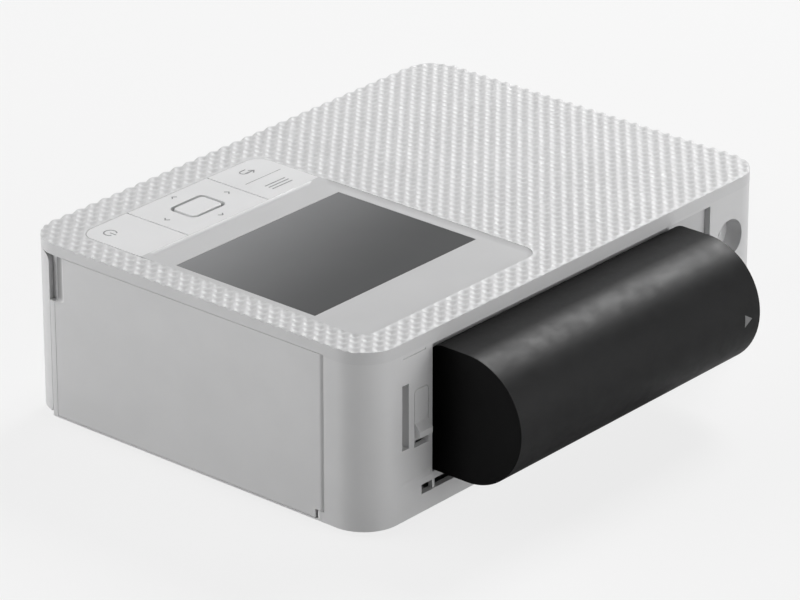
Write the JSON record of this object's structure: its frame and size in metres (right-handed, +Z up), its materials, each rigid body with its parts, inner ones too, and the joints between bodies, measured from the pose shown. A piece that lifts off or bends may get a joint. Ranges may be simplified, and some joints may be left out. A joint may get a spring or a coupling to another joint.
{
  "type": "compact_photo_printer",
  "caption": "Small silver-grey photo printer with a textured lid, inset display and keys, fold-down front cover, side ink door and a round-backed clip-on battery pack.",
  "frame": {"origin": "on the table under the centre of the printer with its battery", "axes": "+X to the user's right along the width, +Y from the front cover to the back, +Z up from the table"},
  "size_m": [0.1822, 0.165, 0.0576],
  "materials": {
    "case_shell": "satin silver grey",
    "case_inner": "matt",
    "lid_shell": "satin silver",
    "key_plastic": "satin silver",
    "screen": "smooth",
    "module_metal": "satin",
    "battery_plastic": "fine spark-eroded grain",
    "black_plastic": "matt",
    "foot_rubber": "matt",
    "roller_rubber": "ground",
    "steel": "zinc plated",
    "screw_steel": "blackened",
    "sink_metal": "as extruded",
    "brass": "satin",
    "board": "solder mask",
    "gear_plastic": "natural",
    "film": "smooth",
    "ceramic": "fired",
    "cell_wrap": "shrink wrap"
  },
  "bodies": {
    "housing": {"main_case": "case_shell", "base_plate": "case_shell", "top_cover": "lid_shell", "front_panel": "case_shell", "bay_panel": "case_inner", "feet": "foot_rubber", "base_screws": "screw_steel", "display_bezel": "key_plastic", "lcd_glass": "screen", "lcd_module": "module_metal", "key_board": "board", "cover_pins": "steel", "door_pin": "steel", "bay_contacts": "black_plastic", "dc_jack": "black_plastic", "power_board": "board", "main_board": "board", "board_parts": "black_plastic", "card_slot": "steel", "usb_port": "steel", "left_plate": "steel", "right_plate": "steel", "cross_rails": "steel", "ink_bay_frame": "case_shell", "paper_tray": "case_inner", "paper_guide": "case_inner", "shaft_bushes": "brass", "ribbon_case": "black_plastic", "ribbon_film": "film", "drive_motor": "steel", "motor_bracket": "steel"},
    "front_flap": {"front_cover": "case_shell"},
    "ink_flap": {"ink_door": "case_shell"},
    "power_button": {"power_key": "key_plastic"},
    "arrow_button": {"nav_plate": "key_plastic"},
    "confirm_button": {"ok_key": "key_plastic"},
    "menu_button": {"menu_back_key": "key_plastic"},
    "battery_pack": {"battery_shell": "battery_plastic", "battery_back": "black_plastic", "battery_cells": "cell_wrap", "battery_terminals": "brass"},
    "latch": {"battery_latch": "case_shell", "latch_spring": "steel"},
    "print_head": {"head_bracket": "steel", "heat_sink": "sink_metal", "thermal_head": "ceramic"},
    "feed": {"feed_roller": "steel", "feed_gear": "gear_plastic"},
    "platen": {"platen_roller": "roller_rubber"},
    "pinch": {"pinch_roller": "steel"},
    "pickup": {"pickup_roller": "roller_rubber", "pickup_gear": "gear_plastic"},
    "first_idler": {"idler_gear": "gear_plastic"},
    "second_idler": {"second_gear": "gear_plastic"},
    "takeup_reel": {"takeup_spool": "gear_plastic", "takeup_roll": "film", "takeup_gear": "gear_plastic"},
    "supply_reel": {"supply_spool": "gear_plastic", "supply_roll": "film"},
    "pinion": {"motor_pinion": "brass"}
  },
  "joints": [
    {"name": "front_cover_swing", "type": "hinge", "parent": "housing", "child": "front_flap", "pos_m": [0, -0.07795, 0.0053], "axis": [1, 0, 0], "range_deg": [0, 90]},
    {"name": "ink_door_swing", "type": "hinge", "parent": "housing", "child": "ink_flap", "pos_m": [0.0896, 0.03235, 0.028], "axis": [0, 0, 1], "range_deg": [0, 90]},
    {"name": "power_key_press", "type": "slide", "parent": "housing", "child": "power_button", "axis": [0, 0, 1], "range_m": [-0.00035, 0], "stiffness_N_per_m": 600, "springref_m": 0.0004},
    {"name": "ok_key_press", "type": "slide", "parent": "housing", "child": "confirm_button", "axis": [0, 0, 1], "range_m": [-0.00035, 0], "stiffness_N_per_m": 600, "springref_m": 0.0004},
    {"name": "nav_rock", "type": "hinge", "parent": "housing", "child": "arrow_button", "pos_m": [0, -0.05765, 0.0532], "axis": [1, 0, 0], "range_deg": [-1.2, 1.2], "stiffness_Nm_per_rad": 0.2},
    {"name": "menu_rock", "type": "hinge", "parent": "housing", "child": "menu_button", "pos_m": [0, -0.05765, 0.0532], "axis": [1, 0, 0], "range_deg": [-1.2, 1.2], "stiffness_Nm_per_rad": 0.2},
    {"name": "latch_slide", "type": "slide", "parent": "housing", "child": "latch", "axis": [0, 0, 1], "range_m": [-0.002, 0], "stiffness_N_per_m": 300, "springref_m": 0.001, "deforming": ["latch_spring"]},
    {"name": "battery_slide", "type": "slide", "parent": "housing", "child": "battery_pack", "axis": [1, 0, 0], "range_m": [-0.0166, 0]},
    {"name": "head_swing", "type": "hinge", "parent": "housing", "child": "print_head", "pos_m": [0, 0.02945, 0.0467], "axis": [1, 0, 0], "range_deg": [0, 3], "stiffness_Nm_per_rad": 1.2, "springref_deg": -5.73},
    {"name": "feed_spin", "type": "hinge", "parent": "housing", "child": "feed", "pos_m": [0, 0.00395, 0.0113], "axis": [1, 0, 0], "continuous": true},
    {"name": "platen_spin", "type": "hinge", "parent": "housing", "child": "platen", "pos_m": [0, -0.01605, 0.01], "axis": [1, 0, 0], "continuous": true},
    {"name": "pinch_spin", "type": "hinge", "parent": "housing", "child": "pinch", "pos_m": [0, 0.00395, 0.0166], "axis": [1, 0, 0], "continuous": true},
    {"name": "idler_spin", "type": "hinge", "parent": "housing", "child": "first_idler", "pos_m": [0, -0.00765, 0.02513], "axis": [1, 0, 0], "continuous": true},
    {"name": "motor_spin", "type": "hinge", "parent": "housing", "child": "pinion", "pos_m": [0, 0.00082, 0.04106], "axis": [1, 0, 0], "continuous": true},
    {"name": "second_spin", "type": "hinge", "parent": "housing", "child": "second_idler", "pos_m": [0, -0.03222, 0.02311], "axis": [1, 0, 0], "continuous": true},
    {"name": "takeup_spin", "type": "hinge", "parent": "housing", "child": "takeup_reel", "pos_m": [0, -0.04605, 0.0365], "axis": [1, 0, 0], "continuous": true},
    {"name": "pickup_spin", "type": "hinge", "parent": "housing", "child": "pickup", "pos_m": [0, -0.04992, 0.0196], "axis": [1, 0, 0], "continuous": true},
    {"name": "supply_spin", "type": "hinge", "parent": "housing", "child": "supply_reel", "pos_m": [0, 0.01395, 0.0365], "axis": [1, 0, 0], "continuous": true}
  ],
  "couplings": [
    {"joint": "platen_spin", "follows": "feed_spin", "ratio": 0.66667},
    {"joint": "pinch_spin", "follows": "feed_spin", "ratio": -1.5},
    {"joint": "idler_spin", "follows": "feed_spin", "ratio": -0.42857},
    {"joint": "motor_spin", "follows": "feed_spin", "ratio": 1},
    {"joint": "second_spin", "follows": "feed_spin", "ratio": 0.45},
    {"joint": "takeup_spin", "follows": "feed_spin", "ratio": -0.75},
    {"joint": "pickup_spin", "follows": "feed_spin", "ratio": -0.9},
    {"joint": "supply_spin", "follows": "feed_spin", "ratio": -0.4939}
  ]
}
